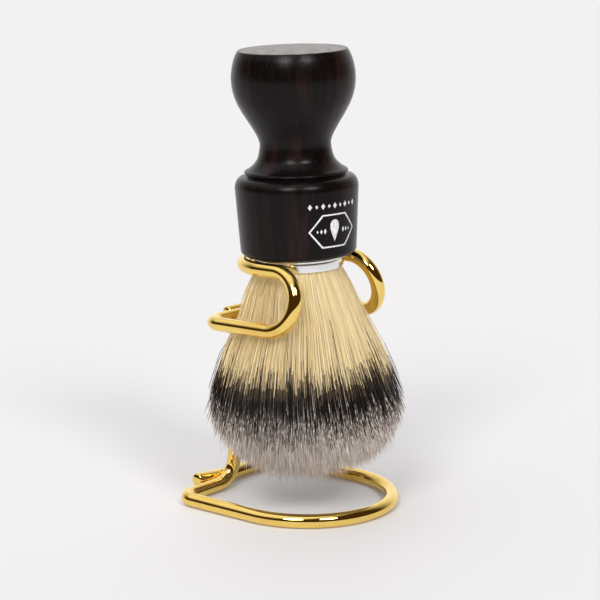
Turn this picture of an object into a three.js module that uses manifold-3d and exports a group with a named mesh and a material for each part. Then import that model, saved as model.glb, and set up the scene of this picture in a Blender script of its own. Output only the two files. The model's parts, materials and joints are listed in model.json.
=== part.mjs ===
// A bent-wire shaving-brush stand with its brush hanging in the fork, bristles down.
// Millimetres, +Z up. The open side of the fork faces -Y, the upright stands at +Y.
import * as THREE from "three";
import Module from "manifold-3d";
import { mergeVertices } from "three/addons/utils/BufferGeometryUtils.js";

const wasm = await Module();
wasm.setup();

const DEG = Math.PI / 180;
const GAP = 0.3; // clearance between pieces that touch

// Wire
const WIRE_D = 4;
const WIRE_SIDES = 8;
const BEND_STEP = 15 * DEG; // turn from one section to the next round a bend

// Base: a D-shaped loop, round in front, with the upright's foot in its rear side
const BASE_R = 24.2;
const BASE_REAR_Y = 26.4;
const CORNER_R = 4.5;
const FOOT_X = -2.5;
const FOOT_BEND_R = 6;
const FREE_END_X = -13;
const FREE_END_RISE = 1.6;

// Fork: a ring open to the front, its arms turned down and back under themselves
const FORK_Y = 3;
const FORK_Z = 69.9;
const FORK_R = 15.5;
const FORK_TILT = 2.4 * DEG; // front edge higher
const FORK_YAW = -4 * DEG;
const ARM_TOE_IN = 2 * DEG;
const ARM_STRAIGHT = 5.6;
const LOOP_R = 8.3;
const LOOP_SPLAY = 14.4 * DEG;
const LOWER_ARM = 22.7;
const LOWER_CORNER_R = 4.5;
const UPRIGHT_TOP_BEND_R = 5;

// Brush, measured down its own axis from the plane of the fork
const COLLAR_SEAT = WIRE_D / 2 + GAP + 0.1;
const HANDLE_TOP = 59.6;
const HANDLE_END_R = 15.2;
const BULB_R = 17.15;
const BULB_Z = 51.5;
const WAIST_R = 9.85;
const WAIST_Z = 33;
const STEP_R = 14.3;
const COLLAR_TOP_R = 17.15;
const COLLAR_TOP_Z = 21.6;
const COLLAR_FOOT_R = 16.2;
const SOCKET_R = 11.6;
const SOCKET_TOP = 20;
const COUNTERBORE_TOP = 7.2;
const FERRULE_R = 12.55;
const FERRULE_WALL = 0.7;
const FERRULE_FOOT = -1.3;
const PLUG_FOOT = 5.2;
const KNOT_NECK_R = 11.4;
const KNOT_PINCH_R = 16.7; // where the hair passes between the lower arms
const KNOT_PINCH_Z = -19.5;
const KNOT_R = 28;
const KNOT_WIDEST_Z = -40;
const KNOT_TIP_Z = -61;
const KNOT_RELIEF_Y = 14.3; // rear face of the hair where the lower arms join behind it
const KNOT_PARTING = WIRE_D + 2 * GAP + 0.4; // width of the parting in the hair round the upright
const PARTING_DEPTH = 20; // how far it reaches to the rear
const LATHE_SIDES = 32;

const finish = (color, roughness, metalness) =>
  new THREE.MeshStandardMaterial({ color, roughness, metalness });

function named(name, geometry, material) {
  const mesh = new THREE.Mesh(geometry, material);
  mesh.name = name;
  return mesh;
}

const vec = (x, y, z) => new THREE.Vector3(x, y, z);

// ---- Wire -----------------------------------------------------------------

// Stations along a wire that runs straight between its corners and round a bend at each.
// A corner is [point, bend radius]; a station is {point, tangent}.
function stationsOf(corners) {
  const stations = [];
  corners.forEach(([corner, radius], i) => {
    const before = i ? corners[i - 1][0] : null;
    const after = i < corners.length - 1 ? corners[i + 1][0] : null;
    if (!before || !after) {
      const tangent = (before ? corner.clone().sub(before) : after.clone().sub(corner)).normalize();
      stations.push({ point: corner.clone(), tangent });
      return;
    }
    const enter = corner.clone().sub(before).normalize();
    const leave = after.clone().sub(corner).normalize();
    const turn = enter.angleTo(leave);
    const inset = radius * Math.tan(turn / 2);
    const inward = leave.clone().addScaledVector(enter, -leave.dot(enter)).normalize();
    const start = corner.clone().addScaledVector(enter, -inset);
    const steps = Math.max(2, Math.ceil(turn / BEND_STEP));
    for (let k = 0; k <= steps; k++) {
      const angle = (turn * k) / steps;
      const along = radius * Math.sin(angle);
      const across = radius * (1 - Math.cos(angle));
      const point = start.clone().addScaledVector(enter, along).addScaledVector(inward, across);
      const tangent = enter.clone().multiplyScalar(Math.cos(angle)).addScaledVector(inward, Math.sin(angle));
      const advance = point.clone().sub(stations.at(-1).point).dot(tangent);
      if (advance < 0.01) continue;
      stations.push({ point, tangent });
    }
  });
  return stations;
}

// A curve whose even steps fall on the stations, so a straight takes one step.
class BentWire extends THREE.Curve {
  constructor(stations) {
    super();
    this.stations = stations;
  }
  nearest(u) {
    return this.stations[Math.round(u * (this.stations.length - 1))];
  }
  getPoint(u, target = new THREE.Vector3()) {
    return target.copy(this.nearest(u).point);
  }
  getPointAt(u, target) {
    return this.getPoint(u, target);
  }
  getTangentAt(u, target = new THREE.Vector3()) {
    return target.copy(this.nearest(u).tangent);
  }
}

// The cross-section keeps a round wire's area, and has a flat facet along the underside of the base.
function wireSection(diameter) {
  const sector = (2 * Math.PI) / WIRE_SIDES;
  const radius = (diameter / 2) * Math.sqrt(sector / Math.sin(sector));
  const points = [];
  for (let i = 0; i < WIRE_SIDES; i++) {
    const angle = (i + 0.5) * sector;
    points.push(new THREE.Vector2(radius * Math.cos(angle), radius * Math.sin(angle)));
  }
  return { shape: new THREE.Shape(points), apothem: radius * Math.cos(sector / 2) };
}

function wireAlong(corners, diameter) {
  const stations = stationsOf(corners);
  return new THREE.ExtrudeGeometry(wireSection(diameter).shape, {
    steps: stations.length - 1,
    extrudePath: new BentWire(stations),
  });
}

const WIRE_Z = wireSection(WIRE_D).apothem; // centreline height of the base, resting on its facet

// The fork's own frame: origin at the ring's centre, -Y out of its mouth.
const forkFrame = new THREE.Group();
forkFrame.position.set(0, FORK_Y, FORK_Z);
forkFrame.rotation.set(-FORK_TILT, 0, FORK_YAW, "ZXY");
forkFrame.updateMatrixWorld(true);

// Corners of one arm from the ring to the lower rear corner; side is -1 at the left, 1 at the right.
function armCorners(side) {
  const forward = vec(-side * Math.sin(ARM_TOE_IN), -Math.cos(ARM_TOE_IN), 0);
  const outward = vec(side * Math.cos(ARM_TOE_IN), -Math.sin(ARM_TOE_IN), 0);
  const down = outward.multiplyScalar(Math.sin(LOOP_SPLAY));
  down.z = -Math.cos(LOOP_SPLAY);
  const upperFront = vec(side * FORK_R, 0, 0).addScaledVector(forward, ARM_STRAIGHT + LOOP_R);
  const lowerFront = upperFront.clone().addScaledVector(down, 2 * LOOP_R);
  const lowerRear = lowerFront.clone().addScaledVector(forward, -(LOWER_ARM + LOOP_R));
  return { upperFront, lowerFront, lowerRear };
}

function placed(point) {
  return point.clone().applyMatrix4(forkFrame.matrixWorld);
}

// The upright leans forward and meets the lower arms level with their rear corners.
const leftArm = armCorners(-1);
const rightArm = armCorners(1);
const leftRear = placed(leftArm.lowerRear);
const rightRear = placed(rightArm.lowerRear);
const uprightFoot = vec(FOOT_X, BASE_REAR_Y, WIRE_Z);
const uprightTop = leftRear.clone().lerp(rightRear, 0.44);
const weldPass = WIRE_D + GAP; // distance between the two passes of wire at a weld
const secondEnd = uprightTop.clone().add(vec(-6, weldPass, 0));
const secondCorner = rightRear.clone().add(vec(0, weldPass, 0));

const standCorners = [
  [vec(FREE_END_X, BASE_REAR_Y + weldPass, WIRE_Z + FREE_END_RISE), 0],
  [vec(FOOT_X + 5, BASE_REAR_Y + weldPass, WIRE_Z), 4],
  [vec(BASE_R, BASE_REAR_Y + weldPass, WIRE_Z), CORNER_R + weldPass],
  [vec(BASE_R, -BASE_R, WIRE_Z), BASE_R],
  [vec(-BASE_R, -BASE_R, WIRE_Z), BASE_R],
  [vec(-BASE_R, BASE_REAR_Y, WIRE_Z), CORNER_R],
  [uprightFoot, FOOT_BEND_R],
  [uprightTop, UPRIGHT_TOP_BEND_R],
  [leftRear, LOWER_CORNER_R],
  [placed(leftArm.lowerFront), LOOP_R],
  [placed(leftArm.upperFront), LOOP_R],
  [placed(vec(-FORK_R, 0, 0)), 0],
  [placed(vec(-FORK_R, FORK_R, 0)), FORK_R],
  [placed(vec(FORK_R, FORK_R, 0)), FORK_R],
  [placed(vec(FORK_R, 0, 0)), 0],
  [placed(rightArm.upperFront), LOOP_R],
  [placed(rightArm.lowerFront), LOOP_R],
  [secondCorner, LOWER_CORNER_R],
  [secondEnd, 0],
];

// ---- Solids for joining and cutting ---------------------------------------

function solidOf(geometry) {
  const bare = geometry.clone();
  bare.deleteAttribute("normal");
  bare.deleteAttribute("uv");
  const merged = mergeVertices(bare, 1e-4);
  return new wasm.Manifold(
    new wasm.Mesh({
      numProp: 3,
      vertProperties: new Float32Array(merged.attributes.position.array),
      triVerts: new Uint32Array(merged.index.array),
    }),
  );
}

function geometryOf(solid) {
  const mesh = solid.getMesh();
  const geometry = new THREE.BufferGeometry();
  geometry.setAttribute("position", new THREE.BufferAttribute(mesh.vertProperties, 3));
  geometry.setIndex(new THREE.BufferAttribute(mesh.triVerts, 1));
  geometry.computeVertexNormals();
  return geometry;
}

// A weld nugget that fuses two passes of wire lying side by side.
function weldNugget(centre) {
  const nugget = new THREE.SphereGeometry(1.25, 10, 8);
  nugget.scale(1.3, 1.1, 1);
  nugget.translate(centre.x, centre.y, centre.z);
  return nugget;
}

function standWire() {
  const wire = solidOf(wireAlong(standCorners, WIRE_D));
  const footWeld = vec(FOOT_X, BASE_REAR_Y + weldPass / 2, WIRE_Z + 2.4);
  const topWeld = uprightTop.clone().add(vec(0.6, weldPass / 2, 0));
  return wire.add(solidOf(weldNugget(footWeld))).add(solidOf(weldNugget(topWeld)));
}

// ---- Brush ----------------------------------------------------------------

// Turns a profile of [radius, height] points, ordered from the top down, into a solid of revolution.
function turned(profile) {
  const points = profile.map(([radius, height]) => new THREE.Vector2(radius, height));
  return new THREE.LatheGeometry(points.reverse(), LATHE_SIDES).rotateX(Math.PI / 2);
}

// Points round an ellipse from angle a to angle b, in degrees.
function arc(centreR, centreZ, radiusR, radiusZ, a, b, steps) {
  return Array.from({ length: steps + 1 }, (_, k) => {
    const angle = (a + ((b - a) * k) / steps) * DEG;
    return [centreR + radiusR * Math.cos(angle), centreZ + radiusZ * Math.sin(angle)];
  });
}

// A smooth outline through a few turning points.
function faired(points, steps) {
  const curve = new THREE.CatmullRomCurve3(points.map(([r, z]) => vec(r, 0, z)), false, "centripetal");
  return curve.getPoints(steps).map((p) => [p.x, p.z]);
}

function handleGeometry() {
  const bulb = [
    [HANDLE_END_R + 0.6, HANDLE_TOP - 1.2],
    [BULB_R - 0.3, BULB_Z + 3.4],
    [BULB_R, BULB_Z],
    [BULB_R - 1.5, BULB_Z - 6.5],
    [BULB_R - 5.2, BULB_Z - 12.5],
    [WAIST_R + 0.5, WAIST_Z + 3],
    [WAIST_R, WAIST_Z],
    [WAIST_R + 1.2, WAIST_Z - 3.8],
    [STEP_R - 0.6, WAIST_Z - 7.2],
  ];
  return turned([
    [0, HANDLE_TOP],
    [HANDLE_END_R, HANDLE_TOP],
    ...faired(bulb, 16),
    [STEP_R, COLLAR_TOP_Z + 3.6],
    ...arc(COLLAR_TOP_R - 2.4, COLLAR_TOP_Z, 2.4, 2.4, 78, 0, 4),
    [COLLAR_FOOT_R, COLLAR_SEAT + 3.4],
    ...arc(COLLAR_FOOT_R - 2, COLLAR_SEAT + 2, 2, 2, 0, -90, 4),
    [FERRULE_R + GAP, COLLAR_SEAT],
    [FERRULE_R + GAP, COUNTERBORE_TOP],
    [SOCKET_R, COUNTERBORE_TOP],
    [SOCKET_R, SOCKET_TOP],
    [0, SOCKET_TOP],
  ]);
}

function ferruleGeometry() {
  const inner = FERRULE_R - FERRULE_WALL;
  const top = COUNTERBORE_TOP - GAP;
  return turned([
    [inner, top],
    [FERRULE_R, top],
    [FERRULE_R, FERRULE_FOOT + 0.3],
    [FERRULE_R - 0.3, FERRULE_FOOT],
    [inner, FERRULE_FOOT],
    [inner, top],
  ]);
}

function plugGeometry() {
  return turned([
    [0, SOCKET_TOP - GAP],
    [SOCKET_R - GAP - 0.4, SOCKET_TOP - GAP],
    [SOCKET_R - GAP, SOCKET_TOP - GAP - 0.4],
    [SOCKET_R - GAP, PLUG_FOOT],
    [0, PLUG_FOOT],
  ]);
}

function knotGeometry() {
  return turned([
    [0, PLUG_FOOT - GAP],
    [KNOT_NECK_R, PLUG_FOOT - GAP],
    [KNOT_NECK_R, FERRULE_FOOT - 0.2],
    [KNOT_PINCH_R, KNOT_PINCH_Z],
    [KNOT_R - 2.2, KNOT_WIDEST_Z + 5],
    ...arc(0, KNOT_WIDEST_Z, KNOT_R, KNOT_WIDEST_Z - KNOT_TIP_Z, 0, -80, 7),
    [0, KNOT_TIP_Z],
  ]);
}

// The knot, clear of the wire by a gap, with a parting open to the rear round the upright
// and a relief open to the rear where the wire crosses behind it.
function knotSolid(brush) {
  const knot = solidOf(knotGeometry().applyMatrix4(brush.matrixWorld));
  const wire = solidOf(wireAlong(standCorners, WIRE_D + 2 * GAP + 0.3));
  const lean = uprightTop.clone().sub(uprightFoot);
  const parting = new THREE.BoxGeometry(KNOT_PARTING, PARTING_DEPTH, lean.length() + 10);
  parting.translate(0, PARTING_DEPTH / 2, 0);
  parting.rotateX(Math.atan2(-lean.y, lean.z));
  parting.rotateY(Math.atan2(lean.x, lean.z));
  parting.rotateZ(FORK_YAW);
  const middle = uprightFoot.clone().add(uprightTop).multiplyScalar(0.5);
  parting.translate(middle.x, middle.y - KNOT_PARTING / 2, middle.z);
  const relief = new THREE.BoxGeometry(4 * FORK_R, 2 * FORK_R, WIRE_D + 4 * GAP);
  relief.translate(0, KNOT_RELIEF_Y + FORK_R, -2 * LOOP_R * Math.cos(LOOP_SPLAY));
  relief.applyMatrix4(brush.matrixWorld);
  return knot.subtract(wire).subtract(solidOf(parting)).subtract(solidOf(relief));
}

// ---- Assembly -------------------------------------------------------------

const gold = finish(0xd9a63a, 0.12, 1);
const wood = finish(0x24161a, 0.4, 0);
const polishedMetal = finish(0xd8d9dc, 0.18, 1);
const hair = finish(0xe0d1a8, 0.85, 0);
const resin = finish(0xb8a983, 0.5, 0);

const assembly = new THREE.Group();

const brush = new THREE.Group();
brush.position.copy(forkFrame.position);
brush.rotation.copy(forkFrame.rotation);
brush.add(named("handle", handleGeometry(), wood));
brush.add(named("ferrule", ferruleGeometry(), polishedMetal));
brush.add(named("knot_plug", plugGeometry(), resin));
brush.updateMatrixWorld(true);

assembly.add(named("stand_wire", geometryOf(standWire()), gold));
assembly.add(named("knot", geometryOf(knotSolid(brush)), hair));
assembly.add(brush);

// The part's origin is on the surface it stands on, under the middle of its box.
const box = new THREE.Box3().setFromObject(assembly, true);
const middle = box.getCenter(new THREE.Vector3());
assembly.position.set(-middle.x, -middle.y, -box.min.z);

const group = new THREE.Group();
group.add(assembly);

export default group;
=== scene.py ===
"""A bent-wire shaving-brush stand with its brush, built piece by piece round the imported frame."""

import json
import math

import bpy
from bpy.props import FloatProperty, FloatVectorProperty, IntProperty, PointerProperty
from mathutils import Matrix, Vector


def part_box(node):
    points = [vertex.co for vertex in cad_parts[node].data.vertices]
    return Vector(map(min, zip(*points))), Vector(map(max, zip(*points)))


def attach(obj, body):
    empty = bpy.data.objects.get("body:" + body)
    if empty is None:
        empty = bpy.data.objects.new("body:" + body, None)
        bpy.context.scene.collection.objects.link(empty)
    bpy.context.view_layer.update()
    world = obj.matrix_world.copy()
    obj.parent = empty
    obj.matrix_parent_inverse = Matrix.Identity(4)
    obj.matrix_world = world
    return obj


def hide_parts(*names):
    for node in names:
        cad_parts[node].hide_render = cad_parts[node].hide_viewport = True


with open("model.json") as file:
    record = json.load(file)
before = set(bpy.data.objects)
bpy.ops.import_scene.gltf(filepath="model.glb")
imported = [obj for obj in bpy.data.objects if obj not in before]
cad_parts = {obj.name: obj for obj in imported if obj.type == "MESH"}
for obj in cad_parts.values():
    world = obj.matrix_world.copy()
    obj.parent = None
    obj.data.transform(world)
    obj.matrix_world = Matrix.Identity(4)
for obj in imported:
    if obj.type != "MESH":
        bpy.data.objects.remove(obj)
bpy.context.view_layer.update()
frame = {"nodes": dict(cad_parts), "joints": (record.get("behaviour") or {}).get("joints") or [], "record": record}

bl_info = {
    "name": "Brush Stand",
    "version": (1, 0, 0),
    "blender": (4, 5, 0),
    "location": "View3D > Sidebar > Brush Stand",
    "description": "Builds a gold wire brush stand and the brush that hangs in it",
    "category": "Add Mesh",
}

MM = 0.001
CAD_WIRE_APOTHEM = 1.947 * MM  # half the flat-to-flat width of the CAD model's wire
COLLAR_SEAT = 2.4 * MM  # height of the collar's lower face above the fork
COLLAR_FOOT = 4.4 * MM  # where the collar's tapered side begins, above its rounded edge
COLLAR_SHOULDER = 21.4 * MM  # where it ends, below the shoulder
RING_TOP = 6.9 * MM  # how far up the ferrule goes into the handle
COUNTERBORE_TOP = 7.2 * MM
SOCKET_RADIUS = 11.6 * MM
SOCKET_TOP = 20 * MM
CORE_SHARE = 0.66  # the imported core's share of the knot's radius
CORE_DOME_SHARE = 0.72  # and of the depth of its dome
RINGS = 11  # sections along one fibre
BAND_RING = 4  # section at which the dark band's upper edge begins
TIP_RING = 8  # section at which the pale tip begins
TUFTS = 11.0  # tufts of fibres for each radian round the knot


# ---- The brush's own frame ----


def brush_matrix(handle_top):
    """Where the brush's own frame lies: origin in the fork's plane, +Z up the handle, -Y out of the fork."""
    record = frame["record"]
    end = next(m for m in record["mounts"] if m["name"] == "handle_end")
    up = Vector(end["axis"]).normalized()
    rear = -Vector(frame["joints"][0]["axis"]).normalized()
    right = rear.cross(up).normalized()
    rear = up.cross(right)
    origin = Vector(end["pos_m"]) - up * handle_top
    turn = Matrix((right, rear, up)).transposed().to_4x4()
    return Matrix.Translation(origin) @ turn


# ---- Settings ----


def length(name, description, millimetres):
    return FloatProperty(
        name=name, description=description, default=millimetres * MM, unit="LENGTH", min=0.0, precision=5
    )


def angle(name, description, degrees):
    return FloatProperty(name=name, description=description, default=math.radians(degrees), subtype="ANGLE")


def colour(name, description, default):
    return FloatVectorProperty(
        name=name, description=description, default=default, subtype="COLOR_GAMMA", size=3, min=0.0, max=1.0
    )


def count(name, description, default):
    return IntProperty(name=name, description=description, default=default, min=1)


class WireSettings(bpy.types.PropertyGroup):
    """Sizes of the bent wire."""

    diameter: length("Wire Diameter", "Thickness of the wire", 4.0)
    sides: count("Sides", "Faces round the wire", 28)
    base_radius: length("Base Radius", "Radius of the base loop's round front", 24.2)
    base_rear: length("Base Rear", "How far behind the loop's centre its rear side lies", 26.4)
    corner_radius: length("Corner Radius", "Bend radius of the rear corners", 4.5)
    fork_radius: length("Fork Radius", "Radius of the ring round the ferrule", 15.5)
    loop_radius: length("Loop Radius", "Bend radius where each arm turns down and back", 8.3)
    arm_straight: length("Arm Straight", "Straight length of an upper arm", 5.6)
    lower_arm: length("Lower Arm", "Straight length of a lower arm", 22.7)
    toe_in: angle("Toe In", "How far the arms close towards the mouth", 2.0)
    splay: angle("Loop Splay", "How far the loops lean outward", 14.4)
    weld_gap: length("Weld Gap", "Space between the two passes of wire at a weld", 0.3)
    colour: colour("Gold", "Colour of the plating", (0.97, 0.84, 0.475))


class HandleSettings(bpy.types.PropertyGroup):
    """Sizes of the turned handle and of the ferrule under it."""

    top: length("Handle Top", "Height of the flat end above the fork", 59.6)
    end_radius: length("End Radius", "Radius of the flat end", 15.4)
    bulb_radius: length("Bulb Radius", "Largest radius of the grip", 17.3)
    waist_radius: length("Waist Radius", "Smallest radius of the grip", 9.95)
    collar_radius: length("Collar Radius", "Largest radius of the collar", 17.3)
    collar_foot_radius: length("Collar Foot Radius", "Radius of the collar's lower edge", 16.3)
    ferrule_radius: length("Ferrule Radius", "Outer radius of the metal ring", 12.55)
    ferrule_foot: length("Ferrule Foot", "How far the ring reaches below the fork", 1.3)
    segments: count("Segments", "Faces round the turned pieces", 160)
    wood: colour("Wood", "Colour of the lacquered wood", (0.044, 0.026, 0.027))
    streak: colour("Streaks", "Colour of the redder streaks in the wood", (0.135, 0.076, 0.07))


class KnotSettings(bpy.types.PropertyGroup):
    """Sizes of the fibre knot."""

    neck_radius: length("Neck Radius", "Radius of the bundle inside the ring", 11.5)
    bloom_radius: length("Bloom Radius", "Largest radius of the knot", 27.4)
    side_depth: length("Side Depth", "Depth at which the outermost fibres end", 38.8)
    dome_depth: length("Dome Depth", "How much deeper the middle fibres reach", 21.5)
    fibre_radius: length("Fibre Radius", "Radius of one fibre", 0.09)
    band_top: length("Band Top", "Depth at which the dark band begins", 30.2)
    band_foot: length("Band Foot", "Depth at which the dark band ends", 44.3)
    rear_limit: length("Rear Limit", "How far back the hair reaches at the lower arms", 14.4)
    pinch: FloatProperty(name="Pinch", description="How far the lower arms squeeze the hair", default=0.07)
    lean_right: length("Lean Right", "How far the hair's ends are set to the right", 0.55)
    lean_forward: length("Lean Forward", "How far the upright pushes the hair's ends forward", 0.65)
    fibres: count("Fibres", "Fibres in each piece of the knot", 3000)
    side_pieces: count("Side Pieces", "Pieces that hold the long outer fibres", 4)
    tip_pieces: count("Tip Pieces", "Pieces that hold the inner fibres' ends", 4)
    seed: count("Seed", "Seed of every random draw", 7)


class MarkSettings(bpy.types.PropertyGroup):
    """The plain printed mark on the collar."""

    around: angle("Around", "Direction of the mark's middle round the collar, from the right side", -99.5)
    height: length("Height", "Height of the mark's middle above the fork", 10.7)
    print_colour: colour("Print", "Colour of the printed mark", (0.9, 0.9, 0.92))


class StageSettings(bpy.types.PropertyGroup):
    """The floor, the light and the camera."""

    azimuth: angle("Azimuth", "Direction in which the camera looks", -50.87)
    pitch: angle("Pitch", "How far the camera looks down", 12.87)
    camera_place: FloatVectorProperty(
        name="Camera Place",
        description="Where the camera stands",
        default=(-0.52124, -0.42454, 0.21234),
        unit="LENGTH",
        subtype="TRANSLATION",
    )
    lens: FloatProperty(name="Lens", description="Focal length on a 36 mm wide sensor", default=147.0)
    floor_colour: colour("Floor", "Colour of the floor", (0.86, 0.857, 0.86))


def settings():
    return bpy.context.scene.brush_stand


# ---- Node trees written as expressions ----


def forward(operation):
    """An operator with the value first."""
    return lambda self, other: self.math(operation, other)


def reflected(operation):
    """An operator with the value second, so that 1 - value works."""
    options = {"operation": operation}
    return lambda self, other: self.nodes.value("ShaderNodeMath", options, {0: other, 1: self})


class Value:
    """A number in a node tree. Each arithmetic operator adds one Math node."""

    def __init__(self, nodes, socket):
        self.nodes = nodes
        self.socket = socket

    def math(self, operation, *others):
        """This value and the others through one Math node."""
        sockets = dict(enumerate((self, *others)))
        return self.nodes.value("ShaderNodeMath", {"operation": operation}, sockets)

    __add__, __radd__ = forward("ADD"), reflected("ADD")
    __sub__, __rsub__ = forward("SUBTRACT"), reflected("SUBTRACT")
    __mul__, __rmul__ = forward("MULTIPLY"), reflected("MULTIPLY")
    __truediv__, __rtruediv__ = forward("DIVIDE"), reflected("DIVIDE")
    __pow__ = forward("POWER")
    __gt__ = forward("GREATER_THAN")

    def __neg__(self):
        return self * -1.0

    def limit(self, low, high):
        return self.math("MAXIMUM", low).math("MINIMUM", high)

    def smooth(self, low, high):
        """0 below low, 1 above high, smooth between."""
        ends = {"Value": self, "From Min": low, "From Max": high}
        return self.nodes.value("ShaderNodeMapRange", {"interpolation_type": "SMOOTHSTEP"}, ends)


class Nodes:
    """Adds nodes to one tree."""

    def __init__(self, tree):
        self.tree = tree

    def add(self, kind, options=None, sockets=None):
        """A node of this kind, its options set first, then its sockets, each from a value or a link."""
        node = self.tree.nodes.new(kind)
        for name, value in (options or {}).items():
            if name == "stops":
                self.set_stops(node.color_ramp, value)
            else:
                setattr(node, name, value)
        for key, value in (sockets or {}).items():
            socket = node.inputs[key] if isinstance(key, int) else self.find(node, key)
            self.feed(socket, value)
        return node

    @staticmethod
    def find(node, name):
        """The enabled input of that name or identifier."""
        for socket in node.inputs:
            if socket.enabled and name in (socket.name, socket.identifier):
                return socket
        raise KeyError(f"{node.bl_idname} has no input {name}")

    @staticmethod
    def set_stops(ramp, stops):
        while len(ramp.elements) < len(stops):
            ramp.elements.new(1.0)
        for element, (position, shade) in zip(ramp.elements, stops):
            element.position = position
            element.color = (*shade, 1.0)

    def feed(self, socket, value):
        if isinstance(value, Value):
            value = value.socket
        if isinstance(value, bpy.types.NodeSocket):
            self.tree.links.new(value, socket)
        elif hasattr(socket.default_value, "__len__") and not hasattr(value, "__len__"):
            socket.default_value = [value] * len(socket.default_value)
        else:
            socket.default_value = value

    def value(self, kind, options=None, sockets=None, output=None):
        """The number that a node gives: its first output, or the one of that name."""
        node = self.add(kind, options, sockets)
        return Value(self, next(o for o in node.outputs if o.enabled and output in (None, o.name)))

    def noise(self, place, scale, detail, **more):
        """A number from 0 to 1 that wanders from place to place."""
        sockets = {"Vector": place, "Scale": scale, "Detail": detail, **more}
        return self.value("ShaderNodeTexNoise", None, sockets)

    def height_of(self, place):
        return self.value("ShaderNodeSeparateXYZ", None, {"Vector": place}, "Z")

    def along(self, place, direction):
        """How far a place lies along a direction."""
        options, sockets = {"operation": "DOT_PRODUCT"}, {0: place, 1: direction}
        return self.value("ShaderNodeVectorMath", options, sockets, "Value")

    def mix(self, factor, first, second, blend="MIX"):
        """A colour between two, each a linear colour or a link."""
        first, second = ((*shade, 1.0) if isinstance(shade, tuple) else shade for shade in (first, second))
        sockets = {"Factor": factor, 6: first, 7: second}
        return self.add("ShaderNodeMix", {"data_type": "RGBA", "blend_type": blend}, sockets).outputs[2]

    def bump(self, shader, height, strength, depth):
        """Raises a shader's surface by a height from 0 to 1, and a depth in metres."""
        sockets = {"Height": height, "Strength": strength, "Distance": depth}
        self.feed(shader.inputs["Normal"], self.add("ShaderNodeBump", None, sockets).outputs[0])

    def own_place(self):
        """Where a point lies in its piece."""
        return self.add("ShaderNodeTexCoord").outputs["Object"]


# ---- Materials ----


def linear(shade):
    """A display colour as the linear colour that a shader takes."""
    return tuple(c / 12.92 if c <= 0.04045 else ((c + 0.055) / 1.055) ** 2.4 for c in shade)


def shaded(shade, *amounts):
    """A linear colour with its red, green and blue each taken down."""
    return tuple(part * amount for part, amount in zip(shade, amounts))


def new_material(name):
    """The tree and the Principled shader of a new material."""
    material = bpy.data.materials.new(name)
    material.use_nodes = True
    shader = next(n for n in material.node_tree.nodes if n.bl_idname == "ShaderNodeBsdfPrincipled")
    return Nodes(material.node_tree), shader


def own_coordinates(nodes, matrix, scale):
    """Places in the brush's own frame, stretched by scale, and the same unstretched."""
    sockets = {"Vector": nodes.own_place(), "Location": matrix.translation, "Rotation": matrix.to_euler()}
    turned_place = nodes.value("ShaderNodeMapping", {"vector_type": "TEXTURE"}, sockets)
    return nodes.value("ShaderNodeMapping", None, {"Vector": turned_place, "Scale": scale}), turned_place


def finish(nodes, shader, varying, **constants):
    """Feeds the shader's inputs that vary over the surface, and sets those that don't."""
    for name, source in varying.items():
        nodes.feed(shader.inputs[name], source)
    for name, value in constants.items():
        shader.inputs[name.replace("_", " ").title().replace("Ior", "IOR")].default_value = value


def gold_plate():
    """Mirror-polished gold plate with faint waves and drawing marks left in the wire under it."""
    nodes, shader = new_material("gold plate")
    place = nodes.own_place()
    waves = nodes.noise(place, 160.0, 2.0)
    grit = nodes.noise(place, 2600.0, 4.0)
    wear = nodes.noise(place, 75.0, 5.0).smooth(0.5, 0.72)
    gold = linear(settings().wire.colour)
    tint = nodes.mix(wear, gold, shaded(gold, 0.93, 0.84, 0.7))
    nodes.bump(shader, waves * 0.7 + grit * 0.03, 0.14, 0.3 * MM)
    finish(nodes, shader, {"Base Color": tint, "Roughness": 0.015 + wear * 0.05 + grit * 0.02}, metallic=1.0)


def lacquered_wood(matrix):
    """Near-black turned wood under a satin lacquer, its grain along the handle."""
    nodes, shader = new_material("lacquered wood")
    along, place = own_coordinates(nodes, matrix, (1.0, 1.0, 0.09))
    grain = nodes.noise(along, 900.0, 6.0, Roughness=0.62)
    figure = nodes.noise(along, 230.0, 3.0, Distortion=0.6)
    pores = nodes.value("ShaderNodeTexVoronoi", {"feature": "F1"}, {"Vector": along, "Scale": 2300.0})
    cloud = nodes.noise(place, 90.0, 2.0)
    handle = settings().handle
    wood = linear(handle.wood)
    dark = pores.smooth(0.28, 0.1) * 0.55
    streaked = figure.smooth(0.46, 0.7) * 0.75 + grain.smooth(0.5, 0.7) * 0.35
    side = nodes.mix(dark, nodes.mix(streaked, wood, linear(handle.streak)), shaded(wood, 0.3, 0.3, 0.3))

    # The flat end shows sanded end grain with growth rings off to one side. Its colour is painted a pale grey: a
    # painted reflection of the bright room at a grazing angle, over the real grain.
    end = nodes.height_of(place).smooth(handle.top - 0.3 * MM, handle.top - 0.05 * MM)
    sanded = nodes.noise(place, 2600.0, 4.0, Roughness=0.6)
    pith = nodes.add("ShaderNodeVectorMath", {"operation": "ADD"}, {0: place, 1: (0.024, -0.013, 0.0)})
    rings = nodes.value(
        "ShaderNodeTexWave",
        {"wave_type": "RINGS", "rings_direction": "Z"},
        {"Vector": pith.outputs[0], "Scale": 62.0, "Distortion": 9.0, "Detail": 3.0, "Detail Scale": 1.1},
    )
    end_texture = rings * 0.3 + sanded.smooth(0.35, 0.65) * 0.7
    # Pale greys for the flat end: painted reflection, patterned by the real rings and sanding.
    end_grain_and_reflection = nodes.mix(end_texture, (0.165, 0.148, 0.14), (0.36, 0.342, 0.332))

    nodes.bump(shader, grain * 0.5 + figure * 0.3 - dark * 0.6 + end_texture * end * 0.6, 0.5, 0.14 * MM)
    roughness = 0.21 + cloud * 0.12 + dark * 0.2 + end * 0.25
    varying = {"Base Color": nodes.mix(end, side, end_grain_and_reflection), "Roughness": roughness}
    finish(nodes, shader, varying, coat_weight=0.06, coat_roughness=0.22, specular_ior_level=0.12)


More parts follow.
